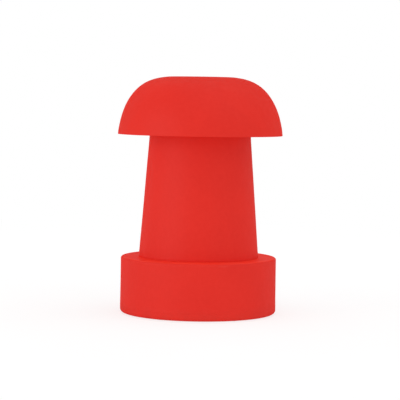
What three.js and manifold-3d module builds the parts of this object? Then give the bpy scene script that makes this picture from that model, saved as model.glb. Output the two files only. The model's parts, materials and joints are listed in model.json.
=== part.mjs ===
// Water filled traffic barrier of the mushroom bollard kind: a round ballast drum, a tapered
// column that stands on it and shares its water, and a broad domed head clamped on top.
// Millimetres, +Z up. Origin: centre of the footprint, on the ground. -Y is the front; the
// drain is at the back, on +Y.
import * as THREE from "three";
import { mergeVertices } from "three/addons/utils/BufferGeometryUtils.js";
import Module from "manifold-3d";

const wasm = await Module();
wasm.setup();

// ---------------------------------------------------------------- driving dimensions
const BODY_FACETS = 36; // round a large moulding
const POCKET_FACETS = 28;
const THREAD_FACETS = 20; // round a threaded piece
const SMALL_FACETS = 16; // round pads, bolt washers and the vent plug
const ROD_FACETS = 12;

const WALL = 5; // rotomoulded wall
const GAP = 0.3; // clearance between pieces that rest on each other

const HEIGHT = 600;
const BASE_R = 198.5;
const BASE_BOTTOM = 1.2; // the drum stands this far up, on its pads
const DECK_Z = 143; // top of the drum
const FLOOR_Z = 12.5; // raised underside inside the foot ring
const FOOT_INNER_R = 152;

const COL_BOTTOM_Z = DECK_Z + GAP;
const COL_FOOT_R = 152.6; // column radius on the drum's deck
const COL_NECK_R = 128.5; // column radius under the head
const COL_TOP_Z = 455; // shoulder that carries the head
const STUB_R = 62; // narrow top of the column inside the head
const STUB_TOP_Z = 567;

const SPIGOT_R = 78; // column's spigot in the drum's socket
const SPIGOT_BORE_R = 69;
const SPIGOT_Z = 112;
const SOCKET_R = 80;
const SOCKET_Z = 104;
const GROOVE_R = 74.5; // seal groove round the spigot
const GROOVE_BOTTOM_Z = 124;
const GROOVE_TOP_Z = 131;

const HEAD_R = 209;
const RIM_Z = 453;
const SOFFIT_Z = 459;
const DISH_R = 64; // recess in the head's crown, for the filler
const DISH_Z = 572.3;
const DISH_HOLE_R = 42;
const VENT = [0, 165, 0]; // vent hole in the head's underside

const KEY_R = 68.5; // reach of the two keys on the column's stub
const KEY_HALF_WIDTH = 5;
const KEY_TOP_Z = COL_TOP_Z + 66;

// Evenly spaced [x, y, 0] points round a circle, the first at angle `start` in degrees.
const circlePoints = ({ radius, count, start }) =>
  Array.from({ length: count }, (_, i) => {
    const angle = THREE.MathUtils.degToRad(start + (i * 360) / count);
    return [radius * Math.cos(angle), radius * Math.sin(angle), 0];
  });

// Four M10 bolts, from below, drum to column.
const BOLT_POINTS = circlePoints({ radius: 115, count: 4, start: 45 });
const BOLT_SEAT_Z = 28;
const BOLT_WASHER_Z = BOLT_SEAT_Z - GAP - 2.5; // underside of the washer

const PAD_POINTS = circlePoints({ radius: 169.5, count: 6, start: 0 });
const PAD_R = 15;
const PAD_TOP_Z = BASE_BOTTOM + 3.5;

// Drain stations are distances along +Y, from the barrier's axis outwards.
const DRAIN_Z = 52;
const POCKET_R = 36;
const POCKET_Y = 171; // floor of the drain pocket
const DRAIN_THREAD = { pitch: 4, rootWidth: 2.2, crestWidth: 0.9 };
const BUSH_R = 24;
const BUSH_BORE_R = 19;
const BUSH_FACE = POCKET_Y + GAP + 4; // outer face of the bush's flange
const DRAIN_GASKET_THICK = 2.2;
const DRAIN_FLANGE = BUSH_FACE + GAP + DRAIN_GASKET_THICK + GAP; // plug flange's inner face
const DRAIN_PLUG_R = 16.8;

const FILL_THREAD = { pitch: 5, rootWidth: 3, crestWidth: 1.2 };
const NECK_BORE_R = 33;
const NECK_R = 39;
const NECK_TOP_Z = 586;
const NECK_FLANGE_Z = STUB_TOP_Z - WALL - GAP; // top of the weld flange, under the stub's deck
const FILL_GASKET_THICK = 2.1;
const FILL_FLANGE_Z = NECK_TOP_Z + GAP + FILL_GASKET_THICK + GAP; // underside of plug's flange
const FILL_PLUG_R = 30.4;
const RING_WASHER_THICK = 2;
const RING_Z = DISH_Z + GAP + RING_WASHER_THICK + GAP; // underside of the lock ring
const RING_R = 54;
const RING_BORE_R = 41.6;
const RING_TOP_Z = RING_Z + 9.5;

// ---------------------------------------------------------------- materials
const material = (settings) => new THREE.MeshStandardMaterial(settings);
const RED = material({ color: 0xe4342d, roughness: 0.48 });
const BLACK_PP = material({ color: 0x1b1b1c, roughness: 0.42 });
const RUBBER = material({ color: 0x141414, roughness: 0.8 });
const WHITE_PE = material({ color: 0xd8d4cc, roughness: 0.5 });
const ZINC = material({ color: 0xb9bcc0, roughness: 0.35, metalness: 1 });
const BRASS = material({ color: 0xb58b3e, roughness: 0.35, metalness: 1 });

// ---------------------------------------------------------------- helpers
// A closed three.js geometry as a solid, turned right side out if need be.
function solid(geometry) {
  // Only positions are kept, so that normals and uvs can't hold a seam open.
  const bare = new THREE.BufferGeometry();
  bare.setAttribute("position", geometry.attributes.position);
  bare.setIndex(geometry.index);
  const merged = mergeVertices(bare, 1e-4);
  const index = merged.index.array;
  const triangles = [];
  for (let i = 0; i < index.length; i += 3) {
    const [a, b, c] = index.slice(i, i + 3);
    if (a !== b && b !== c && a !== c) triangles.push(a, b, c);
  }
  const build = () =>
    new wasm.Manifold(
      new wasm.Mesh({
        numProp: 3,
        vertProperties: new Float32Array(merged.attributes.position.array),
        triVerts: new Uint32Array(triangles),
      }),
    );
  const shape = build();
  if (shape.volume() >= 0) return shape;
  triangles.reverse();
  return build();
}

// A solid of revolution about +Z from [radius, z] points. The profile runs from axis to axis
// or closes on itself.
function revolve(points, facets = BODY_FACETS) {
  const onAxis = points[0][0] === 0 && points.at(-1)[0] === 0;
  const outline = onAxis ? points : [...points, points[0]];
  const geometry = new THREE.LatheGeometry(
    outline.map(([r, z]) => new THREE.Vector2(r, z)),
    facets,
  );
  return solid(geometry.rotateX(Math.PI / 2));
}

// A flat ring about +Z.
const washer = ({ inner, outer, bottom, thick, facets }) =>
  revolve(
    [[inner, bottom], [outer, bottom], [outer, bottom + thick], [inner, bottom + thick]],
    facets,
  );

// A cylinder about +Z from z0 to z1.
function rod(radius, z0, z1, facets = ROD_FACETS) {
  const geometry = new THREE.CylinderGeometry(radius, radius, z1 - z0, facets);
  geometry.rotateX(Math.PI / 2);
  return solid(geometry.translate(0, 0, (z0 + z1) / 2));
}

// A box centred on y = 0.
function block(x0, x1, halfWidth, z0, z1) {
  const geometry = new THREE.BoxGeometry(x1 - x0, 2 * halfWidth, z1 - z0);
  return solid(geometry.translate((x0 + x1) / 2, 0, (z0 + z1) / 2));
}

// The same box on the +X and the -X side.
const blockPair = (x0, x1, ...rest) => block(x0, x1, ...rest).add(block(-x1, -x0, ...rest));

const copies = (shape, points) =>
  wasm.Manifold.union(points.map((point) => shape.translate(point)));

// Profile points along an arc; angles in degrees.
const arc = ({ centre: [r, z], radius, from, to, steps }) =>
  Array.from({ length: steps + 1 }, (_, i) => {
    const angle = THREE.MathUtils.degToRad(from + ((to - from) * i) / steps);
    return [r + radius * Math.cos(angle), z + radius * Math.sin(angle)];
  });

// One right-handed helical thread about +Z, from radius `root` to `crest` (inwards when
// crest < root). `start` is the height of its middle at angle 0 on its first turn. Both ends
// fade out over an eighth of a turn.
function thread({ root, crest, pitch, start, turns, rootWidth, crestWidth }) {
  const foot = root + (crest > root ? -0.7 : 0.7); // sunk into the wall it stands on
  const steps = Math.round(turns * THREAD_FACETS);
  const fade = THREAD_FACETS / 8;
  const positions = [];
  for (let i = 0; i <= steps; i++) {
    const turn = i / THREAD_FACETS;
    const angle = turn * 2 * Math.PI;
    const middle = start + turn * pitch;
    const rise = Math.max(0.04, Math.min(1, i / fade, (steps - i) / fade));
    const top = root + (crest - root) * rise;
    const topHalf = (crestWidth / 2) * rise + (rootWidth / 2) * (1 - rise);
    for (const [r, dz] of [
      [foot, -rootWidth / 2],
      [top, -topHalf],
      [top, topHalf],
      [foot, rootWidth / 2],
    ])
      positions.push(r * Math.cos(angle), r * Math.sin(angle), middle + dz);
  }
  const index = [];
  for (let i = 0; i < steps; i++)
    for (let j = 0; j < 4; j++) {
      const near = i * 4 + j;
      const nearNext = i * 4 + ((j + 1) % 4);
      index.push(near, nearNext, nearNext + 4, near, nearNext + 4, near + 4);
    }
  const end = steps * 4;
  index.push(0, 2, 1, 0, 3, 2);
  index.push(end, end + 1, end + 2, end, end + 2, end + 3);
  const geometry = new THREE.BufferGeometry();
  geometry.setAttribute("position", new THREE.Float32BufferAttribute(positions, 3));
  geometry.setIndex(index);
  return solid(geometry);
}

// Lays a solid built about +Z on its side, so that +Z becomes +Y, at the drain's height.
const toDrain = (shape) => shape.rotate([-90, 0, 0]).translate([0, 0, DRAIN_Z]);

const group = new THREE.Group();

// Adds a flat-shaded mesh to the group.
function piece(name, shape, pieceMaterial) {
  const { vertProperties, triVerts } = shape.getMesh();
  const indexed = new THREE.BufferGeometry();
  indexed.setAttribute("position", new THREE.BufferAttribute(vertProperties, 3));
  indexed.setIndex(new THREE.BufferAttribute(triVerts, 1));
  const geometry = indexed.toNonIndexed();
  geometry.computeVertexNormals();
  const mesh = new THREE.Mesh(geometry, pieceMaterial);
  mesh.name = name;
  group.add(mesh);
}

// Adds one numbered piece at each point.
const pieceAtEach = (name, shape, pieceMaterial, points) =>
  points.forEach((point, i) =>
    piece(`${name}_${i + 1}`, shape.translate(point), pieceMaterial),
  );

// ---------------------------------------------------------------- ballast drum
// Closed wall with a raised floor inside a foot ring, and a socket in the deck that is open
// into the drum, so the column's water reaches it.
function drumShell() {
  const footEdge = 13;
  const deckEdge = 5;
  const inside = BASE_R - WALL;
  return revolve([
    [0, FLOOR_Z],
    [FOOT_INNER_R - 5, FLOOR_Z],
    [FOOT_INNER_R, BASE_BOTTOM],
    ...arc({
      centre: [BASE_R - footEdge, BASE_BOTTOM + footEdge],
      radius: footEdge, from: -90, to: 0, steps: 4,
    }),
    ...arc({
      centre: [BASE_R - deckEdge, DECK_Z - deckEdge],
      radius: deckEdge, from: 0, to: 90, steps: 2,
    }),
    [SOCKET_R + 1, DECK_Z],
    [SOCKET_R, DECK_Z - 1.5],
    [SOCKET_R, SOCKET_Z],
    [SOCKET_R + WALL, SOCKET_Z],
    [SOCKET_R + WALL, DECK_Z - WALL],
    [inside, DECK_Z - WALL],
    [inside, BASE_BOTTOM + 12],
    [inside - 6.5, BASE_BOTTOM + WALL],
    [FOOT_INNER_R + 4, BASE_BOTTOM + WALL],
    [FOOT_INNER_R + 1, FLOOR_Z + WALL],
    [0, FLOOR_Z + WALL],
  ]);
}

function drum() {
  // Through tubes for the bolts, dry inside, each with a seat for the bolt's head.
  const boltTube = rod(11, FLOOR_Z + 2, DECK_Z - 2)
    .add(rod(21, FLOOR_Z + 1, BOLT_SEAT_Z + WALL));
  const boltBore = rod(6, 0, DECK_Z + 5).add(rod(16, 0, BOLT_SEAT_Z));
  // Seats for the pads in the foot ring.
  const padBoss = rod(PAD_R + 4.5, BASE_BOTTOM + 2, BASE_BOTTOM + 9);
  const padSeat = rod(PAD_R + 0.4, 0, PAD_TOP_Z + GAP, SMALL_FACETS);
  // Drain pocket in the back wall, its lining trimmed to the drum.
  const trim = revolve([
    [0, 5],
    [BASE_R - 10, 5],
    [BASE_R - 2, 15],
    [BASE_R - 2, DECK_Z - 2],
    [0, DECK_Z - 2],
  ]);
  const lining = rod(POCKET_R + WALL, POCKET_Y - WALL, BASE_R + 5, POCKET_FACETS);
  const pocket = rod(POCKET_R, POCKET_Y, BASE_R + 10, POCKET_FACETS);
  const bushHole = rod(BUSH_R + 0.4, POCKET_Y - WALL - 3, POCKET_Y + 3, THREAD_FACETS);
  return drumShell()
    .add(copies(boltTube, BOLT_POINTS))
    .subtract(copies(boltBore, BOLT_POINTS))
    .add(copies(padBoss, PAD_POINTS))
    .subtract(copies(padSeat, PAD_POINTS))
    .add(toDrain(lining).intersect(trim))
    .subtract(toDrain(pocket))
    .subtract(toDrain(bushHole));
}
piece("base_tank", drum(), RED);

const footPad = revolve(
  [[0, 0], [PAD_R - 1.2, 0], [PAD_R, 1.2], [PAD_R, PAD_TOP_Z], [0, PAD_TOP_Z]],
  SMALL_FACETS,
);
pieceAtEach("foot_pad", footPad, RUBBER, PAD_POINTS);

// ---------------------------------------------------------------- drain
// Flanged bush, threaded inside.
const drainBush = revolve(
  [
    [BUSH_BORE_R, POCKET_Y - 18],
    [BUSH_R, POCKET_Y - 18],
    [BUSH_R, POCKET_Y + GAP],
    [31, POCKET_Y + GAP],
    [31, BUSH_FACE - 1],
    [30, BUSH_FACE],
    [BUSH_BORE_R, BUSH_FACE],
  ],
  THREAD_FACETS,
).add(
  thread({
    ...DRAIN_THREAD, root: BUSH_BORE_R, crest: 17.2, start: POCKET_Y - 10, turns: 2.25,
  }),
);
piece("drain_bush", toDrain(drainBush), BLACK_PP);

const drainGasket = washer({
  inner: 19.6, outer: 27.5,
  bottom: BUSH_FACE + GAP, thick: DRAIN_GASKET_THICK,
  facets: THREAD_FACETS,
});
piece("drain_gasket", toDrain(drainGasket), RUBBER);

// The wing that fingers turn the drain plug by.
function drainWing() {
  const thick = 8;
  const outline = new THREE.Shape();
  outline.moveTo(-19, 0);
  outline.lineTo(19, 0);
  outline.lineTo(17, 8.5);
  outline.quadraticCurveTo(16.2, 11, 13.5, 11);
  outline.lineTo(-13.5, 11);
  outline.quadraticCurveTo(-16.2, 11, -17, 8.5);
  outline.closePath();
  const geometry = new THREE.ExtrudeGeometry(outline, {
    depth: thick,
    bevelEnabled: false,
    curveSegments: 4,
  });
  geometry.translate(0, 0, -thick / 2);
  geometry.rotateX(Math.PI / 2);
  return solid(geometry.translate(0, 0, DRAIN_FLANGE + 3.5));
}

const drainPlug = revolve(
  [
    [0, POCKET_Y - 12],
    [DRAIN_PLUG_R - 1.5, POCKET_Y - 12],
    [DRAIN_PLUG_R, POCKET_Y - 11],
    [DRAIN_PLUG_R, DRAIN_FLANGE],
    [28, DRAIN_FLANGE],
    [28, DRAIN_FLANGE + 3],
    [27, DRAIN_FLANGE + 4],
    [0, DRAIN_FLANGE + 4],
  ],
  THREAD_FACETS,
)
  .add(
    thread({
      ...DRAIN_THREAD, root: DRAIN_PLUG_R, crest: 18.6, start: POCKET_Y - 8, turns: 1.5,
    }),
  )
  .add(drainWing());
piece("drain_plug", toDrain(drainPlug), BLACK_PP);

// ---------------------------------------------------------------- column
// Outer radius of the taper at height z.
const columnR = (z) =>
  COL_FOOT_R + ((COL_NECK_R - COL_FOOT_R) * (z - DECK_Z)) / (COL_TOP_Z - 2 - DECK_Z);

// Taper with a floor, a spigot under it, a shoulder at the top and a narrow stub that runs
// up inside the head. Open at both ends, so it fills from the top and empties into the drum.
function column() {
  const shell = revolve([
    [SPIGOT_BORE_R, SPIGOT_Z],
    [SPIGOT_R - 1.5, SPIGOT_Z],
    [SPIGOT_R, SPIGOT_Z + 3],
    [SPIGOT_R, GROOVE_BOTTOM_Z],
    [GROOVE_R, GROOVE_BOTTOM_Z],
    [GROOVE_R, GROOVE_TOP_Z],
    [SPIGOT_R, GROOVE_TOP_Z],
    [SPIGOT_R, COL_BOTTOM_Z],
    [COL_FOOT_R - 1.5, COL_BOTTOM_Z],
    [columnR(COL_BOTTOM_Z + 2), COL_BOTTOM_Z + 2],
    [columnR(COL_TOP_Z - 3), COL_TOP_Z - 3],
    [COL_NECK_R - 3, COL_TOP_Z],
    [STUB_R + 2.5, COL_TOP_Z],
    [STUB_R, STUB_TOP_Z - 3],
    [STUB_R - 3, STUB_TOP_Z],
    [NECK_R + GAP, STUB_TOP_Z],
    [NECK_R + GAP, STUB_TOP_Z - WALL],
    [STUB_R - WALL, STUB_TOP_Z - WALL],
    [STUB_R - WALL + 2.5, COL_TOP_Z - WALL],
    [columnR(COL_TOP_Z - 7) - WALL, COL_TOP_Z - WALL],
    [columnR(COL_BOTTOM_Z + 5) - WALL, COL_BOTTOM_Z + WALL],
    [SPIGOT_BORE_R, COL_BOTTOM_Z + WALL],
  ]);
  const insertBoss = rod(14, COL_BOTTOM_Z + 2, COL_BOTTOM_Z + 30);
  const insertBore = rod(8.3, COL_BOTTOM_Z - 5, COL_BOTTOM_Z + 24);
  // Keys that stop the head turning on the stub.
  const keys = blockPair(60, KEY_R, KEY_HALF_WIDTH, COL_TOP_Z - 2, KEY_TOP_Z);
  return shell
    .add(copies(insertBoss, BOLT_POINTS))
    .subtract(copies(insertBore, BOLT_POINTS))
    .add(keys);
}
piece("column_tank", column(), RED);

const columnSeal = revolve([
  [GROOVE_R + GAP, GROOVE_BOTTOM_Z + 0.4],
  [SPIGOT_R - 0.1, GROOVE_BOTTOM_Z + 0.4],
  [SOCKET_R - GAP, (GROOVE_BOTTOM_Z + GROOVE_TOP_Z) / 2],
  [SPIGOT_R - 0.1, GROOVE_TOP_Z - 0.4],
  [GROOVE_R + GAP, GROOVE_TOP_Z - 0.4],
]);
piece("column_seal", columnSeal, RUBBER);

// ---------------------------------------------------------------- bolts
const boltHeadTop = BOLT_WASHER_Z - GAP;
const columnBolt = rod(9.8, boltHeadTop - 6.4, boltHeadTop, 6).add(
  revolve(
    [
      [0, BOLT_SEAT_Z - 4],
      [4.9, BOLT_SEAT_Z - 4],
      [4.9, COL_BOTTOM_Z + 18],
      [3.9, COL_BOTTOM_Z + 19.2],
      [0, COL_BOTTOM_Z + 19.2],
    ],
    ROD_FACETS,
  ),
);
const boltWasher = washer({
  inner: 5.4, outer: 14, bottom: BOLT_WASHER_Z, thick: 2.5, facets: SMALL_FACETS,
});
// Blind insert in the column's floor: [radius, height above the column's underside].
const INSERT_PROFILE = [
  [0, 21], [5.2, 21], [5.2, 0.4], [8, 0.4], [8, 8],
  [7.2, 9.5], [7.2, 13], [8, 14.5], [8, 23.4], [0, 23.4],
];
const boltInsert = revolve(INSERT_PROFILE, ROD_FACETS).translate([0, 0, COL_BOTTOM_Z]);

for (const [i, point] of BOLT_POINTS.entries()) {
  piece(`column_bolt_${i + 1}`, columnBolt.translate(point), ZINC);
  piece(`bolt_washer_${i + 1}`, boltWasher.translate(point), ZINC);
  piece(`bolt_insert_${i + 1}`, boltInsert.translate(point), BRASS);
}

// ---------------------------------------------------------------- filler
// Neck with a weld flange, threaded inside for the plug and outside for the lock ring.
const fillNeck = revolve(
  [
    [NECK_BORE_R, NECK_FLANGE_Z - 8],
    [NECK_R, NECK_FLANGE_Z - 8],
    [NECK_R, NECK_FLANGE_Z - 4],
    [50, NECK_FLANGE_Z - 4],
    [50, NECK_FLANGE_Z],
    [NECK_R, NECK_FLANGE_Z],
    [NECK_R, NECK_TOP_Z - 0.5],
    [NECK_R - 0.5, NECK_TOP_Z],
    [NECK_BORE_R, NECK_TOP_Z],
  ],
  THREAD_FACETS,
)
  .add(thread({ ...FILL_THREAD, root: NECK_BORE_R, crest: 31, start: 572, turns: 2.25 }))
  .add(thread({ ...FILL_THREAD, root: NECK_R, crest: 40.7, start: 574.4, turns: 2 }));
piece("fill_neck", fillNeck, BLACK_PP);

const fillGasket = washer({
  inner: 33.7, outer: 38.4,
  bottom: NECK_TOP_Z + GAP, thick: FILL_GASKET_THICK,
  facets: THREAD_FACETS,
});
piece("fill_gasket", fillGasket, RUBBER);

// Hollow plug, open at the top, with a grip bar across it.
const fillPlug = revolve(
  [
    [0, 567],
    [29, 567],
    [FILL_PLUG_R, 569],
    [FILL_PLUG_R, FILL_FLANGE_Z],
    [38.8, FILL_FLANGE_Z],
    [38.8, FILL_FLANGE_Z + 4],
    [37.8, FILL_FLANGE_Z + 5],
    [26.4, FILL_FLANGE_Z + 5],
    [25.2, 572],
    [0, 572],
  ],
  THREAD_FACETS,
)
  .add(thread({ ...FILL_THREAD, root: FILL_PLUG_R, crest: 32.4, start: 574.5, turns: 1.5 }))
  .add(block(-25.8, 25.8, 4.5, 570, FILL_FLANGE_Z + 3.8));
piece("fill_plug", fillPlug, BLACK_PP);

const ringWasher = washer({
  inner: DISH_HOLE_R, outer: 54.5,
  bottom: DISH_Z + GAP, thick: RING_WASHER_THICK,
  facets: THREAD_FACETS,
});
piece("ring_washer", ringWasher, WHITE_PE);

// Threaded ring with eight slots in its outer edge.
function lockRing() {
  let ring = revolve(
    [
      [RING_BORE_R, RING_Z],
      [RING_R, RING_Z],
      [RING_R, RING_TOP_Z - 1.2],
      [RING_R - 1.2, RING_TOP_Z],
      [RING_BORE_R, RING_TOP_Z],
    ],
    THREAD_FACETS,
  ).add(
    thread({
      ...FILL_THREAD, root: RING_BORE_R, crest: 39.8, start: RING_Z + 2, turns: 1.15,
    }),
  );
  const slot = block(RING_R - 5, RING_R + 6, 4.5, RING_Z + 2.5, RING_Z + 12);
  for (let i = 0; i < 8; i++) ring = ring.subtract(slot.rotate([0, 0, i * 45]));
  return ring;
}
piece("lock_ring", lockRing(), BLACK_PP);

// ---------------------------------------------------------------- head
// Outer skin of the dome, from the rim to the crown: [radius, z].
const DOME = [
  [208.3, 461], [206, 477.3], [200.4, 500.9], [192.7, 522.2], [183.2, 540.9],
  [172.2, 557], [160, 570], [147.2, 580.1], [133.1, 587.8], [116.3, 593.9],
  [96.4, 598.1], [75, HEIGHT], [69.5, HEIGHT],
];

// Some of the dome's points, moved one wall inwards, square to the line between the
// neighbours on either side.
const innerDome = [1, 3, 5, 7, 8, 10]
  .map((i) => DOME[i])
  .map(([r, z], i, picked) => {
    const [r0, z0] = picked[Math.max(0, i - 1)];
    const [r1, z1] = picked[Math.min(picked.length - 1, i + 1)];
    const length = Math.hypot(r1 - r0, z1 - z0);
    return [r - (WALL * (z1 - z0)) / length, z + (WALL * (r1 - r0)) / length];
  });

// Hollow closed dome: outer skin, flat underside with a drip lip round the rim, a sleeve
// over the stub and a dish in the crown.
function head() {
  const bottom = COL_TOP_Z + GAP;
  const outside = revolve([
    [STUB_R + 4.2, bottom],
    [133.5, bottom],
    [135.5, SOFFIT_Z],
    [HEAD_R - 8, SOFFIT_Z],
    [HEAD_R - 6, RIM_Z],
    [HEAD_R - 1, RIM_Z],
    [HEAD_R, RIM_Z + 1],
    ...DOME,
    [DISH_R + 2, HEIGHT - 2],
    [DISH_R, DISH_Z],
    [DISH_HOLE_R, DISH_Z],
    [DISH_HOLE_R, DISH_Z - WALL],
    [STUB_R - 1.5, DISH_Z - WALL],
    [STUB_R + 1.3, DISH_Z - WALL - 3],
  ]);
  const hollow = revolve([
    [71, bottom + WALL],
    [130.5, bottom + WALL],
    [136.5, SOFFIT_Z + WALL],
    [HEAD_R - 6.5, SOFFIT_Z + WALL],
    ...innerDome,
    [71, 591],
    [69, 586],
  ]);
  // Thicker sleeve at the two keyways.
  const keyBosses = blockPair(66.5, 75, 11, COL_TOP_Z + 2, COL_TOP_Z + 74);
  const keyways = blockPair(
    62, KEY_R + 1.1, KEY_HALF_WIDTH + 0.6, COL_TOP_Z - 3, KEY_TOP_Z + 1,
  );
  const ventHole = rod(6, SOFFIT_Z - 3, SOFFIT_Z + WALL + 3).translate(VENT);
  return outside
    .add(keyBosses)
    .subtract(hollow.subtract(keyBosses))
    .subtract(keyways)
    .subtract(ventHole);
}
piece("head_shell", head(), RED);

// Vent plug, held by a barb above the underside's wall: [radius, height above the soffit].
const VENT_PLUG_PROFILE = [
  [0, -GAP - 2], [8.4, -GAP - 2], [9.2, -GAP], [5.5, -GAP],
  [5.5, WALL + 0.5], [6.6, WALL + 0.5], [4.6, WALL + 5], [0, WALL + 5],
];
const ventPlug = revolve(VENT_PLUG_PROFILE, SMALL_FACETS).translate([0, 0, SOFFIT_Z]);
piece("vent_plug", ventPlug.translate(VENT), BLACK_PP);

export default group;
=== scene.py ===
import json
import math

import bmesh
import bpy
import numpy as np
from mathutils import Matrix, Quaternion, Vector


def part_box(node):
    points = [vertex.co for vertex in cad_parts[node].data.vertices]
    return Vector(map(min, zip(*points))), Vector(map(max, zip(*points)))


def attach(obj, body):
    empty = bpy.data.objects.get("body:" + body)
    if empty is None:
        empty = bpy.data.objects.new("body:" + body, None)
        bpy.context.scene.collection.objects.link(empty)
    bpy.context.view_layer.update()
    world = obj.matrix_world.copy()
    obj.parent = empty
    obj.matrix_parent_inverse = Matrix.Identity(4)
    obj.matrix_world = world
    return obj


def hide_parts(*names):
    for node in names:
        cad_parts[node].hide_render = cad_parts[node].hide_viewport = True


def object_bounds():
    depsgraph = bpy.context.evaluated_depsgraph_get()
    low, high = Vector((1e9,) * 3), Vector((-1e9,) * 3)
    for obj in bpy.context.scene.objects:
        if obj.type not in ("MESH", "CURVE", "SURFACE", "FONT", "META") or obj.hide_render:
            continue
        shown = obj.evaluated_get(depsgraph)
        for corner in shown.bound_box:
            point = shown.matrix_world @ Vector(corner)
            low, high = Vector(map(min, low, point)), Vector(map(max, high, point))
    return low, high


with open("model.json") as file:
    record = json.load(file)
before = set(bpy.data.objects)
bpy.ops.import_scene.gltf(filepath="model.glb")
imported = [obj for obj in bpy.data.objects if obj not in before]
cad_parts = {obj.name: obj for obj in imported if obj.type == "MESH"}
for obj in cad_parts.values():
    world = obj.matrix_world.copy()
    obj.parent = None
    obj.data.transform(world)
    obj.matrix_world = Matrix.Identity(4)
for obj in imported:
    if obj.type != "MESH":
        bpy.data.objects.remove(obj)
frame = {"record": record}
cad_low, cad_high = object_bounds()
scene = bpy.context.scene
MM = 0.001
BODY_OF = {
    node: body
    for body, nodes in frame["record"]["behaviour"]["bodies"].items()
    for node in nodes
}


# ------------------------------------------------------------------ where the frame puts things
def extent(node):
    """The low and high corners of a CAD piece's box, in mm."""
    low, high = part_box(node)
    return np.array(low) * 1000, np.array(high) * 1000


def centre(node):
    low, high = extent(node)
    return (low + high) / 2


def reach(node, axis=2):
    """Where a CAD piece starts and ends along one axis: its height, unless told otherwise."""
    low, high = extent(node)
    return low[axis], high[axis]


def measures(node):
    """A round CAD piece's outer radius, bottom and top."""
    low, high = extent(node)
    return high[0], low[2], high[2]


BASE_R, BASE_Z, DECK = measures("base_tank")
COL_FOOT_R, SPIGOT_Z, STUB_TOP = measures("column_tank")
HEAD_R, RIM_Z, TOP_Z = measures("head_shell")
WALL = 5.0
GAP = 0.3  # clearance between pieces that stand on each other
SOFFIT = RIM_Z + 6  # underside of the head, inside its rim
SHOULDER = RIM_Z + 2  # top of the column's shoulder
COL_FOOT = DECK + GAP
COL_NECK_R = 128.5
FLOOR = 12.5  # raised underside of the drum
EDGE = 16.0  # rounding of the drum's bottom edge
BOLTS = [centre(f"column_bolt_{i}") for i in range(1, 5)]
PADS = [centre(f"foot_pad_{i}") for i in range(1, 7)]
DRAIN_Z = centre("drain_bush")[2]
VENT_X, VENT_Y, _ = centre("vent_plug")
POCKET_R, POCKET_Y = 36.0, 171.0  # the drain pocket's radius, and where its floor is

# facets round a piece
N_BIG = 240
N_MID = 120
N_SMALL = 64


# ------------------------------------------------------------------ profiles
# A profile is a list of (radius, height) or (radius, height, fillet) corners about +Z.
def rounded(profile):
    """The profile as plain (radius, height) points, each filleted corner turned into an arc."""
    out = []
    count = len(profile)
    for i, (radius, height, *fillet) in enumerate(profile):
        if not fillet or fillet[0] <= 0:
            out.append((radius, height))
            continue
        corner = np.array([radius, height], float)
        back = np.array(profile[i - 1][:2], float) - corner
        ahead = np.array(profile[(i + 1) % count][:2], float) - corner
        back_length, ahead_length = np.linalg.norm(back), np.linalg.norm(ahead)
        back, ahead = back / back_length, ahead / ahead_length
        half = math.acos(float(np.clip(back @ ahead, -1, 1))) / 2
        if half > math.pi / 2 - 0.02:  # all but straight
            out.append((radius, height))
            continue
        setback = min(fillet[0] / math.tan(half), back_length * 0.48, ahead_length * 0.48)
        arc_r = setback * math.tan(half)
        middle = corner + (back + ahead) / np.linalg.norm(back + ahead) * (arc_r / math.sin(half))
        start, end = corner + back * setback, corner + ahead * setback
        first = math.atan2(start[1] - middle[1], start[0] - middle[0])
        last = math.atan2(end[1] - middle[1], end[0] - middle[0])
        sweep = (last - first + math.pi) % (2 * math.pi) - math.pi
        facet = math.radians(8 if arc_r > 3 else 15)
        steps = max(2, int(math.ceil(abs(sweep) / facet)))
        for step in range(steps + 1):
            angle = first + sweep * step / steps
            out.append(
                (middle[0] + arc_r * math.cos(angle), middle[1] + arc_r * math.sin(angle))
            )
    return out


def densify(points, longest, closed):
    """Splits long runs of a profile so that no edge is longer than `longest`."""
    out = []
    count = len(points)
    for i in range(count if closed else count - 1):
        start, end = np.array(points[i], float), np.array(points[(i + 1) % count], float)
        steps = max(1, int(math.ceil(np.linalg.norm(end - start) / longest)))
        for step in range(steps):
            out.append(tuple(start + (end - start) * step / steps))
    if not closed:
        out.append(tuple(points[-1]))
    return out


def spline(control, count):
    """`count` points of a clamped cubic B-spline through its end points."""
    control = np.array(control, float)
    degree, size = 3, len(control)
    knots = np.concatenate(
        [np.zeros(degree), np.linspace(0, 1, size - degree + 1), np.ones(degree)]
    )
    out = []
    for at in np.linspace(0, 1, count):
        i = min(max(int(np.searchsorted(knots, at, "right")) - 1, degree), size - 1)
        points = [control[j + i - degree].copy() for j in range(degree + 1)]
        for level in range(1, degree + 1):
            for j in range(degree, level - 1, -1):
                start = knots[j + i - degree]
                part = (at - start) / (knots[j + 1 + i - level] - start)
                points[j] = (1 - part) * points[j - 1] + part * points[j]
        out.append(tuple(points[degree]))
    return out


def smooth(x, start, end):
    t = np.clip((x - start) / (end - start), 0, 1)
    return t * t * (3 - 2 * t)


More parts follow.
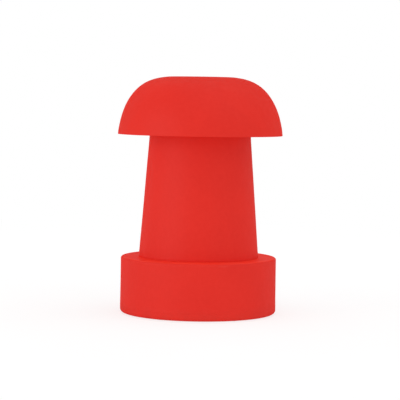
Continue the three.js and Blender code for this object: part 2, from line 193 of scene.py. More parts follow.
# ------------------------------------------------------------------ mesh code
def revolve(points, segments, closed, modulate=None):
    """Vertices (mm) and faces of plain points turned about +Z. modulate(radius, height, angle)
    may move the rows."""
    points = np.array(points, float)
    around = np.arange(segments) * 2 * math.pi / segments
    radius = np.repeat(points[:, :1], segments, 1)
    height = np.repeat(points[:, 1:], segments, 1)
    angle = np.repeat(around[None], len(points), 0)
    if modulate is not None:
        radius, height = modulate(radius, height, angle)
    verts, faces, rows = [], [], []
    count = 0
    for i in range(len(points)):
        if not closed and points[i, 0] < 1e-9:  # a single vertex on the axis
            verts.append(np.array([[0.0, 0.0, height[i, 0]]]))
            rows.append(np.full(segments, count))
            count += 1
        else:
            x, y = radius[i] * np.cos(angle[i]), radius[i] * np.sin(angle[i])
            verts.append(np.stack([x, y, height[i]], 1))
            rows.append(count + np.arange(segments))
            count += segments
    for i in range(len(points) if closed else len(points) - 1):
        lower, upper = rows[i], rows[(i + 1) % len(points)]
        for j in range(segments):
            k = (j + 1) % segments
            quad = [int(v) for v in (lower[j], lower[k], upper[k], upper[j])]
            face = [v for v, previous in zip(quad, quad[-1:] + quad[:-1]) if v != previous]
            if len(face) > 2:
                faces.append(face)
    return np.concatenate(verts), faces


def outward(verts, faces):
    """The faces, all flipped if they enclose a negative volume."""
    volume = 0.0
    for face in faces:
        first = verts[face[0]]
        for i in range(1, len(face) - 1):
            volume += first @ np.cross(verts[face[i]], verts[face[i + 1]])
    return faces if volume > 0 else [face[::-1] for face in faces]


def linked(name, data):
    """A new object in the scene."""
    new = bpy.data.objects.new(name, data)
    scene.collection.objects.link(new)
    return new


def solid(name, verts, faces, at=(0, 0, 0)):
    """An object from millimetre vertices, faces outwards, not yet shaded."""
    verts = np.asarray(verts, float)
    faces = outward(verts, faces)
    mesh = bpy.data.meshes.new(name)
    mesh.from_pydata(((verts + np.asarray(at, float)) * MM).tolist(), [], faces)
    mesh.validate()
    mesh.update()
    return linked(name, mesh)


def lathe(name, profile, segments, closed=True, longest=None, modulate=None, at=(0, 0, 0)):
    """A profile turned about +Z. An open one starts and ends on the axis."""
    points = rounded(profile)
    if longest:
        points = densify(points, longest, closed)
    return solid(name, *revolve(points, segments, closed, modulate), at)


def lathes(centres, profile, segments):
    """The same open profile turned at each of several centres, as tools."""
    return [
        lathe("tool", profile, segments, closed=False, at=(x, y, 0)) for x, y, _ in centres
    ]


def drop(unwanted):
    mesh = unwanted.data
    bpy.data.objects.remove(unwanted)
    if mesh.users == 0:
        bpy.data.meshes.remove(mesh)


def joined(pieces):
    """Several objects as one mesh, without cutting them."""
    bm = bmesh.new()
    for piece in pieces:
        bm.from_mesh(piece.data)
    mesh = bpy.data.meshes.new("tools")
    bm.to_mesh(mesh)
    bm.free()
    for piece in pieces:
        drop(piece)
    return linked("tools", mesh)


def settle(target):
    """Applies the target's modifiers."""
    bpy.context.view_layer.update()
    graph = bpy.context.evaluated_depsgraph_get()
    mesh = bpy.data.meshes.new_from_object(target.evaluated_get(graph), depsgraph=graph)
    old = target.data
    target.modifiers.clear()
    target.data = mesh
    mesh.name = target.name
    if old.users == 0:
        bpy.data.meshes.remove(old)


def sew(target):
    """Closes the pin-hole gaps that a boolean may leave, and drops slivers."""
    bm = bmesh.new()
    bm.from_mesh(target.data)
    if any(len(edge.link_faces) != 2 for edge in bm.edges):
        bmesh.ops.remove_doubles(bm, verts=bm.verts, dist=0.003 * MM)
        bmesh.ops.dissolve_degenerate(bm, edges=bm.edges, dist=0.001 * MM)
        gaps = [edge for edge in bm.edges if len(edge.link_faces) == 1]
        bmesh.ops.holes_fill(bm, edges=gaps, sides=6)
        loose = [edge for edge in bm.edges if not edge.link_faces]
        bmesh.ops.delete(bm, geom=loose, context="EDGES")
        stray = [vert for vert in bm.verts if not vert.link_edges]
        bmesh.ops.delete(bm, geom=stray, context="VERTS")
        bm.to_mesh(target.data)
        target.data.update()
    bm.free()


def combine(target, tools, operation):
    """An exact boolean with one or more tools, applied, after which the tools are gone."""
    tool = tools[0] if len(tools) == 1 else joined(tools)
    boolean = target.modifiers.new("cut", "BOOLEAN")
    boolean.operation = operation
    boolean.solver = "EXACT"
    boolean.object = tool
    settle(target)
    drop(tool)
    sew(target)


def add(target, *tools):
    combine(target, tools, "UNION")


def cut(target, *tools):
    combine(target, tools, "DIFFERENCE")


def bevel(target, width, segments, angle):
    modifier = target.modifiers.new("bevel", "BEVEL")
    modifier.width = width * MM
    modifier.segments = segments
    modifier.limit_method = "ANGLE"
    modifier.angle_limit = math.radians(angle)
    modifier.use_clamp_overlap = True
    settle(target)


def box(x_ends, y_ends, z_ends, rounding, segments=3):
    """A box with bevelled edges, as a tool."""
    verts = [(x, y, z) for x in x_ends for y in y_ends for z in z_ends]
    faces = [[0, 1, 3, 2], [4, 6, 7, 5], [0, 4, 5, 1], [2, 3, 7, 6], [0, 2, 6, 4], [1, 5, 7, 3]]
    block = solid("tool", verts, faces)
    bevel(block, rounding, segments, angle=40)
    return block


def side_blocks(inner, outer, half_width, z_ends, rounding):
    """Two boxes, at -X and +X, between two distances from the axis."""
    return [
        box(sorted((side * inner, side * outer)), (-half_width, half_width), z_ends, rounding)
        for side in (-1, 1)
    ]


def ridge(root, crest, z, turns, pitch, wide, narrow, steps=72):
    """One helical thread ridge about +Z, right handed, with tapered ends, as a tool. It is `wide`
    at the root and `narrow` at the crest, and has `steps` sections per turn."""
    sink = -0.7 if crest > root else 0.7  # how far the ridge is buried in its wall
    count = int(round(turns * steps))
    fade = steps / 8
    verts, faces = [], []
    for i in range(count + 1):
        angle = i / steps * 2 * math.pi
        middle = z + i / steps * pitch
        full = max(0.04, min(1, i / fade, (count - i) / fade))
        top = root + (crest - root) * full
        half = narrow / 2 * full + wide / 2 * (1 - full)
        soft = (crest - root) * 0.12 * full
        foot = root + (crest - root) * 0.06
        for radius, rise in (
            (root + sink, -wide / 2 - 0.1),
            (foot, -wide / 2 + 0.02),
            (top - soft, -half - 0.06),
            (top, -half * 0.72),
            (top, half * 0.72),
            (top - soft, half + 0.06),
            (foot, wide / 2 - 0.02),
            (root + sink, wide / 2 + 0.1),
        ):
            verts.append((radius * math.cos(angle), radius * math.sin(angle), middle + rise))
    for i in range(count):
        for j in range(8):
            this, beside = i * 8 + j, i * 8 + (j + 1) % 8
            faces.append([this, beside, beside + 8, this + 8])
    faces.append(list(range(8)))
    faces.append([count * 8 + j for j in range(7, -1, -1)])
    return solid("tool", verts, faces)


def remap(target, move):
    """Moves a mesh's vertices (metres) by a function of their array."""
    mesh = target.data
    coords = np.zeros(len(mesh.vertices) * 3, np.float32)
    mesh.vertices.foreach_get("co", coords)
    moved = move(coords.reshape(-1, 3))
    mesh.vertices.foreach_set("co", moved.astype(np.float32).ravel())
    mesh.update()


def tip(target):
    """Turns a piece built about +Z on its side, +Z to +Y, at the drain's height."""
    remap(target, lambda co: np.stack([co[:, 0], co[:, 2], -co[:, 1] + DRAIN_Z * MM], 1))


def spin(target, degrees):
    """Turns a piece about +Z."""
    turn = math.radians(degrees)
    cos, sin = math.cos(turn), math.sin(turn)
    rotation = np.array([[cos, -sin, 0], [sin, cos, 0], [0, 0, 1]])
    remap(target, lambda co: co @ rotation.T)


def field(seed, shortest, longest, count=22):
    """A smooth random field, about -1 to 1: a sum of plane waves with lengths in mm."""
    rng = np.random.default_rng(seed)
    way = rng.normal(size=(count, 3))
    way /= np.linalg.norm(way, axis=1)[:, None]
    length = np.exp(rng.uniform(math.log(shortest), math.log(longest), count))
    wave = way * (2 * math.pi / length)[:, None]
    phase = rng.uniform(0, 2 * math.pi, count)

    def value(x, y, z):
        total = np.zeros_like(x)
        for i in range(count):
            total += np.sin(wave[i, 0] * x + wave[i, 1] * y + wave[i, 2] * z + phase[i])
        return total * math.sqrt(2 / count) / 2

    return value


def moulding(name, points, closed, weight, depth, waves, ease=None):
    """A large turned moulding, whose skin sinks by up to `depth` in slow random waves. `weight`
    scales that for each profile point, and ease(x, y, z) for each vertex."""
    along = np.roll(points, -1, 0) - np.roll(points, 1, 0)
    along /= np.maximum(np.linalg.norm(along, axis=1), 1e-9)[:, None]
    normal = np.stack([along[:, 1], -along[:, 0]], 1)

    def modulate(radius, height, angle):
        x, y = radius * np.cos(angle), radius * np.sin(angle)
        wave = 0.5 + 0.5 * np.clip(waves(x, y, height), -1, 1)
        shift = -depth * wave * weight[:, None]
        if ease is not None:
            shift = shift * ease(x, y, height)
        return radius + normal[:, :1] * shift, height + normal[:, 1:] * shift

    return solid(name, *revolve(points, N_BIG, closed, modulate))


def grips(count, depth, r_min, z_min, z_max):
    """Rounded finger notches round a rim."""

    def modulate(radius, height, angle):
        wave = 0.5 + 0.5 * np.cos(angle * count)
        above = smooth(height, z_min - 0.01, z_min)
        below = 1 - smooth(height, z_max, z_max + 0.01)
        rim = smooth(radius, r_min, r_min + 0.6) * above * below
        return radius - depth * (wave**3.0) * rim, height

    return modulate


# ------------------------------------------------------------------ procedural materials
class Graph:
    """A node tree. Every input may be given a value or another node's output."""

    def __init__(self, tree):
        self.tree = tree
        tree.nodes.clear()

    def feed(self, socket, value):
        if value is None:
            return
        if isinstance(value, bpy.types.NodeSocket):
            self.tree.links.new(value, socket)
        elif isinstance(value, (tuple, list)) and len(value) == 3 and socket.type == "RGBA":
            socket.default_value = (*value, 1)
        else:
            socket.default_value = value

    def node(self, kind, inputs=None, **settings):
        node = self.tree.nodes.new("ShaderNode" + kind)
        for key, setting in settings.items():
            setattr(node, key, setting)
        for key, value in (inputs or {}).items():
            self.feed(node.inputs[key], value)
        return node

    def value(self, kind, inputs=None, out=0, **settings):
        """One output of a new node."""
        return self.node(kind, inputs, **settings).outputs[out]

    def parts(self, vector):
        return self.node("SeparateXYZ", {0: vector}).outputs

    def span(self, value, between, to=(0.0, 1.0), kind="SMOOTHSTEP"):
        """The value, with the range `between` brought to the range `to`, clamped."""
        ends = {"From Min": between[0], "From Max": between[1], "To Min": to[0], "To Max": to[1]}
        return self.value(
            "MapRange", {"Value": value, **ends}, out="Result", interpolation_type=kind
        )


class Mat(Graph):
    """A material with a Principled shader, laid out in object coordinates."""

    def __init__(self, name):
        self.material = bpy.data.materials.new(name)
        self.material.use_nodes = True
        super().__init__(self.material.node_tree)
        self.out = self.node("OutputMaterial")
        self.shader = self.node("BsdfPrincipled")
        self.feed(self.out.inputs[0], self.shader.outputs[0])
        self.coords = self.node("TexCoord").outputs
        self.where = self.coords["Object"]

    def set(self, **inputs):
        for key, value in inputs.items():
            self.feed(self.shader.inputs[key.replace("_", " ")], value)

    def moved(self, offset=(0, 0, 0), scale=(1, 1, 1), rotation=(0, 0, 0)):
        return self.value(
            "Mapping",
            {"Vector": self.where, "Location": offset, "Scale": scale, "Rotation": rotation},
        )

    def noise(self, at, scale, detail, rough=0.5, distort=0.0):
        return self.value(
            "TexNoise",
            {"Vector": at, "Scale": scale, "Detail": detail, "Roughness": rough,
             "Distortion": distort},
            out="Fac",
        )

    def cells(self, at, scale):
        return self.value("TexVoronoi", {"Vector": at, "Scale": scale}, out="Distance")

    def math(self, operation, first, second=0.0, clamp=False):
        return self.value(
            "Math", {0: first, 1: second, 2: 0.0}, operation=operation, use_clamp=clamp
        )

    def times(self, first, second):
        return self.math("MULTIPLY", first, second)

    def plus(self, first, second, clamp=False):
        return self.math("ADD", first, second, clamp)

    def mix(self, factor, first, second):
        return self.value(
            "Mix",
            {"Factor": factor, 6: first, 7: second},
            out=2,
            data_type="RGBA",
            clamp_factor=True,
        )

    def tint(self, colour, toward, mask, amount):
        """The colour, taken toward another by `amount` where the mask is 1."""
        return self.mix(self.times(mask, amount), colour, toward)

    def facing_up(self, between):
        """1 on faces that look up, 0 on steep ones."""
        return self.span(self.parts(self.coords["Normal"])[2], between=between)

    def roughness(self, cloud, to):
        """A roughness that follows a noise evenly."""
        return self.span(cloud, between=(0.2, 0.8), to=to, kind="LINEAR")

    def bump(self, height, strength, distance, under=None):
        return self.value(
            "Bump",
            {"Height": height, "Strength": strength, "Distance": distance, "Normal": under},
        )


RED_LIGHT = (0.800, 0.0230, 0.0125)
RED_DEEP = (0.768, 0.0208, 0.0112)


def red_plastic(name, seed, rim, scuff, low=None, painted_top_light=0.0):
    """Pigmented rotomoulded polyethylene: cloudy pigment, a fine orange peel with pin holes, a
    little dust on what faces up, rub marks near the height rim[0], as far as rim[1] away, and
    marks and road film low down, fading out between the heights in `low`."""
    m = Mat(name)
    at = m.moved(offset=(seed * 1.37, seed * 0.71, seed * 0.29))
    cloud = m.noise(at, scale=7.0, detail=4, rough=0.55, distort=0.3)
    mottle = m.noise(at, scale=95, detail=4, rough=0.6)
    grain = m.noise(at, scale=900, detail=2)
    colour = m.mix(m.span(cloud, between=(0.32, 0.68)), RED_DEEP, RED_LIGHT)
    mottled = m.span(mottle, between=(0.35, 0.7), to=(0.0, 0.14))
    colour = m.mix(mottled, colour, (0.86, 0.034, 0.022))
    grained = m.span(grain, between=(0.58, 0.8), to=(0.0, 0.12))
    colour = m.mix(grained, colour, (0.62, 0.014, 0.010))
    z = m.parts(m.where)[2]
    # painted light: faces that look up are tinted paler, in patches, to stand in for light
    # falling on them
    if painted_top_light:
        patchy = m.span(cloud, between=(0.2, 0.8), to=(0.85, 1.0))
        painted_top_light_mask = m.times(m.facing_up(between=(0.55, 0.95)), patchy)
        colour = m.tint(colour, (0.97, 0.043, 0.022), mask=painted_top_light_mask, amount=painted_top_light)
    # dust that has settled on upward faces
    dusty = m.span(m.noise(at, scale=26, detail=5, rough=0.62), between=(0.3, 0.75))
    dust = m.times(m.facing_up(between=(0.55, 1.0)), dusty)
    colour = m.tint(colour, (0.86, 0.50, 0.42), mask=dust, amount=0.030)
    rough = m.roughness(cloud, to=(0.43, 0.53))
    # wear at the rim
    rim_distance = m.math("ABSOLUTE", m.math("SUBTRACT", z, rim[0]))
    near = m.span(rim_distance, between=(0.0, rim[1]), to=(1.0, 0.0))
    worn = m.span(m.noise(at, scale=60, detail=5, rough=0.65), between=(0.48, 0.72))
    marks = m.times(near, worn)
    if low is not None:
        # fine rubs, squeezed in height so that they run round the body
        fine = m.moved(offset=(seed, 0, 0), scale=(1, 1, 9))
        streaks = m.noise(fine, scale=34, detail=6, rough=0.7, distort=0.6)
        patches = m.noise(at, scale=15, detail=2)
        rubs = m.times(
            m.span(streaks, between=(0.585, 0.66)), m.span(patches, between=(0.45, 0.7))
        )
        low_rubs = m.times(rubs, m.span(z, between=low, to=(1.0, 0.0)))
        marks = m.math("MAXIMUM", low_rubs, marks)
    colour = m.tint(colour, (0.80, 0.13, 0.10), mask=marks, amount=0.20 * scuff)
    rough = m.plus(rough, m.times(marks, 0.16 * scuff))
    if low is not None:
        # road film in the last centimetres above the ground
        ground = m.span(z, between=(0.001, 0.040), to=(1.0, 0.0))
        smear = m.noise(m.moved(), scale=22, detail=5, rough=0.6)
        film = m.times(ground, m.span(smear, between=(0.25, 0.80)))
        colour = m.tint(colour, (0.30, 0.055, 0.040), mask=film, amount=0.20)
        rough = m.plus(rough, m.times(film, 0.12))
    rough = m.plus(rough, m.times(dust, 0.10), clamp=True)
    # less shine at grazing angles
    facing = m.value("LayerWeight", {"Blend": 0.5}, out="Facing")
    shine = m.span(facing, between=(0.0, 0.85), to=(0.20, 0.012))
    m.set(Base_Color=colour, Roughness=rough, Specular_IOR_Level=shine)
    # orange peel, then scattered pin holes, then slow waves
    peel = m.bump(m.noise(at, scale=300, detail=3), strength=0.30, distance=0.0010)
    holes = m.span(m.cells(at, scale=210), between=(0.0, 0.16), to=(-1.0, 0.0))
    scattered = m.span(m.noise(at, scale=40, detail=2), between=(0.52, 0.62))
    pitted = m.bump(m.times(holes, scattered), strength=0.5, distance=0.0005, under=peel)
    slow = m.noise(at, scale=46, detail=2, rough=0.4)
    m.set(Normal=m.bump(slow, strength=0.22, distance=0.0022, under=pitted))
    return m.material


def black_plastic(name, seed):
    """Glossy black with dust on top, scratches and a fine grain."""
    m = Mat(name)
    at = m.moved(offset=(seed * 0.9, seed * 0.4, 0))
    cloud = m.noise(at, scale=60, detail=4, rough=0.6)
    clouded = m.span(cloud, between=(0.3, 0.7))
    colour = m.mix(clouded, (0.014, 0.014, 0.0145), (0.024, 0.024, 0.025))
    dusty = m.span(m.noise(at, scale=130, detail=5, rough=0.65), between=(0.35, 0.75))
    dust = m.times(m.facing_up(between=(0.5, 1.0)), dusty)
    colour = m.tint(colour, (0.30, 0.27, 0.24), mask=dust, amount=0.13)
    slanted = m.moved(scale=(1, 12, 1), rotation=(0.2, 0.3, 0.8))
    streaks = m.noise(slanted, scale=160, detail=4, rough=0.7)
    scratch = m.span(streaks, between=(0.62, 0.68))
    colour = m.tint(colour, (0.12, 0.12, 0.12), mask=scratch, amount=0.16)
    rough = m.plus(m.roughness(cloud, to=(0.34, 0.46)), m.times(dust, 0.22), clamp=True)
    m.set(Base_Color=colour, Roughness=rough, Specular_IOR_Level=0.5)
    grain = m.noise(at, scale=1500, detail=3, rough=0.6)
    waves = m.bump(m.noise(at, scale=110, detail=2), strength=0.08, distance=0.0008)
    m.set(Normal=m.bump(grain, strength=0.16, distance=0.0002, under=waves))
    return m.material


def rubber(name, seed):
    """Matt black with a pale bloom in patches."""
    m = Mat(name)
    at = m.moved(offset=(seed, 0, seed))
    cloud = m.noise(at, scale=140, detail=4, rough=0.65)
    clouded = m.span(cloud, between=(0.3, 0.75))
    colour = m.mix(clouded, (0.010, 0.010, 0.010), (0.030, 0.029, 0.028))
    bloom = m.span(m.noise(at, scale=38, detail=5, rough=0.7), between=(0.5, 0.75))
    colour = m.tint(colour, (0.16, 0.15, 0.14), mask=bloom, amount=0.14)
    rough = m.roughness(cloud, to=(0.66, 0.84))
    m.set(Base_Color=colour, Roughness=rough, Specular_IOR_Level=0.35)
    grain = m.noise(at, scale=2200, detail=3, rough=0.6)
    pebbles = m.bump(m.cells(at, scale=800), strength=0.12, distance=0.0002)
    m.set(Normal=m.bump(grain, strength=0.3, distance=0.0002, under=pebbles))
    return m.material


def natural_plastic(name):
    """Unpigmented, off-white."""
    m = Mat(name)
    at = m.moved()
    cloud = m.noise(at, scale=70, detail=4, rough=0.6)
    colour = m.mix(m.span(cloud, between=(0.3, 0.7)), (0.66, 0.63, 0.56), (0.76, 0.74, 0.68))
    m.set(Base_Color=colour, Roughness=m.roughness(cloud, to=(0.38, 0.5)))
    grain = m.noise(at, scale=900, detail=3, rough=0.6)
    m.set(Normal=m.bump(grain, strength=0.12, distance=0.0002))
    return m.material


def zinc(name):
    """Zinc plate with a spangle and yellowish patches."""
    m = Mat(name)
    at = m.moved()
    spangle = m.cells(at, scale=330)
    cloud = m.noise(at, scale=130, detail=4, rough=0.6)
    colour = m.mix(m.span(cloud, between=(0.3, 0.72)), (0.60, 0.61, 0.63), (0.74, 0.745, 0.75))
    patches = m.noise(at, scale=60, detail=3, rough=0.6)
    yellowed = m.span(patches, between=(0.5, 0.75), to=(0, 0.22))
    colour = m.mix(yellowed, colour, (0.66, 0.60, 0.44))
    uneven = m.plus(m.times(spangle, 0.4), m.times(cloud, 0.6))
    rough = m.roughness(uneven, to=(0.24, 0.42))
    m.set(Base_Color=colour, Metallic=1.0, Roughness=rough)
    grain = m.noise(at, scale=1800, detail=3, rough=0.6)
    m.set(Normal=m.bump(grain, strength=0.12, distance=0.0001))
    return m.material


def brass(name):
    """Brass with fine rings about Z."""
    m = Mat(name)
    at = m.moved()
    cloud = m.noise(at, scale=150, detail=4, rough=0.6)
    colour = m.mix(m.span(cloud, between=(0.3, 0.72)), (0.60, 0.40, 0.13), (0.74, 0.53, 0.22))
    rings = m.noise(m.moved(scale=(1, 1, 30)), scale=90, detail=2)
    rough = m.roughness(cloud, to=(0.22, 0.38))
    m.set(Base_Color=colour, Metallic=1.0, Roughness=rough)
    m.set(Normal=m.bump(rings, strength=0.18, distance=0.0002))
    return m.material


# the drum's upward faces are painted paler, as painted light
RED_DRUM = red_plastic(
    "red_drum", seed=1.0, rim=(0.137, 0.004), scuff=0.55, low=(0.02, 0.085), painted_top_light=0.9
)
RED_COLUMN = red_plastic("red_column", seed=2.0, rim=(0.146, 0.010), scuff=0.35)
RED_HEAD = red_plastic("red_head", seed=3.0, rim=(0.4515, 0.005), scuff=0.55)
BLACK_FITTING = black_plastic("black_fitting", seed=1.0)
BLACK_DRAIN = black_plastic("black_drain", seed=4.0)
SEAL_RUBBER = rubber("seal_rubber", seed=1.0)
PAD_RUBBER = rubber("pad_rubber", seed=3.0)
SLIP_PLASTIC = natural_plastic("slip_plastic")
ZINC = zinc("zinc_plate")
BRASS = brass("insert_brass")


# ------------------------------------------------------------------ finishing a piece
def dress(target, material, angle):
    """Smooth shading, sharp above an angle in degrees, and one material."""
    mesh = target.data
    mesh.polygons.foreach_set("use_smooth", [True] * len(mesh.polygons))
    mesh.set_sharp_from_angle(angle=math.radians(angle))
    mesh.update()
    mesh.materials.clear()
    mesh.materials.append(material)


def stand_for(target, node):
    """Ties an object to its CAD node."""
    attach(target, BODY_OF[node])
    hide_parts(node)


def place(target, node, material, angle=35):
    dress(target, material, angle)
    stand_for(target, node)


def place_copies(source, stem, node_stem, centres, material, angle):
    """The same mesh on each of several numbered nodes."""
    dress(source, material, angle)
    for i, (x, y, _) in enumerate(centres, 1):
        copy = source if i == 1 else linked(f"{stem}_{i}", source.data)
        copy.location = (x * MM, y * MM, 0)
        stand_for(copy, f"{node_stem}_{i}")


# ------------------------------------------------------------------ the drain pocket
def skin(z):
    """The drum's outer radius at height z."""
    below = np.clip(BASE_Z + EDGE - z, 0, EDGE)
    draft = 0.5 * np.clip((z - BASE_Z - 18) / (DECK - BASE_Z - 18), 0, 1)
    return BASE_R - 0.22 - draft - EDGE + np.sqrt(EDGE**2 - below**2)


def clear_of_pocket(x, y, z):
    """1, but 0 near the drain pocket, so that its lip meets a true cylinder."""
    return np.where(y > 150, smooth(np.hypot(x, z - DRAIN_Z), 44, 62), 1.0)


POCKET_SIDES = 96
POCKET_AXIS = 0.01  # radius of the end rings, which are then merged into points


def pocket_ring(radius, y=None, rise=0.0):
    """A ring about the pocket's axis, flat at y, or else `rise` out from the drum's side."""
    angle = np.arange(POCKET_SIDES) * 2 * math.pi / POCKET_SIDES
    x = radius * np.sin(angle)
    z = DRAIN_Z + radius * np.cos(angle)
    if y is None:
        depth = np.sqrt(skin(z) ** 2 - x**2) + rise
    else:
        depth = np.full(POCKET_SIDES, y)
    return np.stack([x, depth, z], 1)


def pocket_solid(rings):
    """A closed solid through the rings, wound consistently whichever way they run, as a tool."""
    sides = POCKET_SIDES
    faces = []
    for i in range(len(rings) - 1):
        for j in range(sides):
            k = (j + 1) % sides
            faces.append([i * sides + j, i * sides + k, (i + 1) * sides + k, (i + 1) * sides + j])
    faces.append(list(range(sides)))
    faces.append(list(range((len(rings) - 1) * sides, len(rings) * sides))[::-1])
    bm = bmesh.new()
    verts = [bm.verts.new(point) for point in np.concatenate(rings)]
    for face in faces:
        bm.faces.new([verts[i] for i in face])
    bmesh.ops.remove_doubles(bm, verts=bm.verts, dist=0.02)
    bmesh.ops.recalc_face_normals(bm, faces=bm.faces)
    bmesh.ops.scale(bm, vec=(MM, MM, MM), verts=bm.verts)
    mesh = bpy.data.meshes.new("tool")
    bm.to_mesh(mesh)
    bm.free()
    return linked("tool", mesh)


def pocket_wall():
    """The plug of material that the pocket is hollowed from."""
    back = POCKET_Y - WALL
    outer = POCKET_R + WALL
    return pocket_solid([
        pocket_ring(POCKET_AXIS, back),
        pocket_ring(outer - 3, back),
        pocket_ring(outer - 0.9, back + 0.9),
        pocket_ring(outer, back + 3),
        pocket_ring(outer, rise=-2.5),
        pocket_ring(POCKET_AXIS, rise=-2.5),
    ])


def pocket_hollow():
    """The cutter: the bush's hole, then the floor, the wall and a rolled lip that follows the
    drum's round side."""
    corner, lip = 4, 3.2  # roundings at the floor and at the lip
    rings = [
        pocket_ring(POCKET_AXIS, POCKET_Y - WALL - 4),
        pocket_ring(24.4, POCKET_Y - WALL - 4),
        pocket_ring(24.4, POCKET_Y - 0.8),
        pocket_ring(25.2, POCKET_Y),
        pocket_ring(POCKET_R - corner, POCKET_Y),
    ]
    for k in range(1, 7):
        angle = math.radians(15 * k)
        radius = POCKET_R - corner + corner * math.sin(angle)
        rings.append(pocket_ring(radius, POCKET_Y + corner - corner * math.cos(angle)))
    for k in range(7):
        angle = math.radians(13.6 * k)
        radius = POCKET_R + lip - lip * math.cos(angle)
        rings.append(pocket_ring(radius, rise=-lip + lip * math.sin(angle)))
    rings += [
        pocket_ring(POCKET_R + 4.2, rise=0.12),
        pocket_ring(POCKET_R + 4.4, BASE_R + 12),
        pocket_ring(POCKET_AXIS, BASE_R + 12),
    ]
    return pocket_solid(rings)


# ------------------------------------------------------------------ the drum
def base_profile():
    side = BASE_R - 0.2
    bead = BASE_R - 0.02
    return [
        # the underside
        (0, FLOOR),
        (40, FLOOR),
        (44, FLOOR + 1.2, 1.5),
        (92, FLOOR + 1.2, 1.5),
        (96, FLOOR, 1.5),
        (147, FLOOR, 3),
        (151.5, BASE_Z, 2.2),
        (side, BASE_Z, EDGE),
        # bead where the mould's halves meet
        (side, BASE_Z + 18.6, 0.3),
        (bead, BASE_Z + 19.1, 0.25),
        (bead, BASE_Z + 20.1, 0.25),
        (side, BASE_Z + 20.6, 0.3),
        # the deck, and the well for the column's spigot
        (BASE_R - 0.7, DECK, 5.2),
        (80, DECK, 1.6),
        (80, 104, 1.2),
        (85, 104, 1.2),
        # the inside
        (85, DECK - WALL, 3),
        (BASE_R - WALL - 1, DECK - WALL, 4),
        (BASE_R - WALL, BASE_Z + 22),
        (BASE_R - WALL, BASE_Z + WALL, 11.5),
        (156, BASE_Z + WALL, 3),
        (151, FLOOR + WALL, 3),
        (0, FLOOR + WALL),
    ]


def make_base():
    points = np.array(densify(rounded(base_profile()), 6.0, False))
    radius, height = points.T
    side = (radius > BASE_R - 12) & (height > BASE_Z + 23) & (height < DECK - 1)
    deck = (np.abs(height - DECK) < 0.05) & (radius > 159)
    weight = np.where(side, 1.0, np.where(deck, 0.8, 0.0))
    # ease the weight along the profile, so that no row steps
    for _ in range(6):
        eased = (np.roll(weight, 1) + weight + np.roll(weight, -1)) / 3
        weight = np.where(weight > 0, eased, 0)
    waves = field(11, shortest=90, longest=260)
    drum = moulding("drum", points, False, weight, 0.4, waves, clear_of_pocket)
    # dry tubes for the bolts, seats for the pads and the drain pocket's wall
    tube = [
        (0, FLOOR + 1), (21, FLOOR + 1), (21, 33, 3), (11, 33, 4), (11, DECK - 2), (0, DECK - 2),
    ]
    seat = [(0, BASE_Z + 2), (19.5, BASE_Z + 2), (19.5, BASE_Z + 9, 2), (0, BASE_Z + 9)]
    add(drum, *lathes(BOLTS, tube, 48), *lathes(PADS, seat, 48), pocket_wall())
    # bolt holes with wide mouths, sockets for the pads, and the pocket
    bolt_hole = [
        (0, 0),
        (17.6, 0),
        (17.6, FLOOR - 0.4),
        (16, FLOOR + 1.4, 0.6),
        (16, 28, 1.2),
        (6, 28, 0.5),
        (6, DECK + 4),
        (0, DECK + 4),
    ]
    pad_socket = [
        (0, 0),
        (16.3, 0),
        (16.3, BASE_Z - 0.2),
        (15.4, BASE_Z + 0.9, 0.4),
        (15.4, BASE_Z + 3.8, 0.6),
        (0, BASE_Z + 3.8),
    ]
    cut(drum, *lathes(BOLTS, bolt_hole, 48), *lathes(PADS, pad_socket, 48), pocket_hollow())
    place(drum, "base_tank", RED_DRUM)


# ------------------------------------------------------------------ the column
SPIGOT_IN, SPIGOT_OUT = 69, 78  # radii of the spigot
GROOVE_R = 74.5  # bottom of the seal's groove in it
STUB_R = 62.0


def column_radius(z):
    taper = COL_NECK_R - COL_FOOT_R
    return COL_FOOT_R + taper * (z - COL_FOOT) / (SHOULDER - 2 - COL_FOOT)


def column_profile():
    inner_shoulder = SHOULDER - WALL
    inner_foot = COL_FOOT + WALL
    return [
        # the spigot and the foot
        (SPIGOT_IN, SPIGOT_Z, 1.2),
        (SPIGOT_OUT, SPIGOT_Z, 2.5),
        (SPIGOT_OUT, 124, 0.4),
        (GROOVE_R, 124, 0.4),
        (GROOVE_R, 131, 0.4),
        (SPIGOT_OUT, 131, 0.4),
        (SPIGOT_OUT, COL_FOOT, 1.5),
        (141, COL_FOOT, 0.1),
        (142, DECK + 0.05, 0.1),  # the foot's outer ring sits down on the deck
        (column_radius(COL_FOOT), DECK + 0.05, 0.4),
        # the shoulder and the stub
        (column_radius(SHOULDER), SHOULDER, 2.6),
        (STUB_R + 2.5, SHOULDER, 2.0),
        (STUB_R, STUB_TOP, 3.0),
        (39.4, STUB_TOP, 0.8),
        # the inside
        (39.4, STUB_TOP - WALL, 0.8),
        (STUB_R - WALL, STUB_TOP - WALL, 3.0),
        (STUB_R - WALL + 2.5, inner_shoulder, 5),
        (column_radius(inner_shoulder) - WALL, inner_shoulder, 6),
        (column_radius(inner_foot) - WALL, inner_foot, 6),
        (SPIGOT_IN, inner_foot, 1.5),
    ]


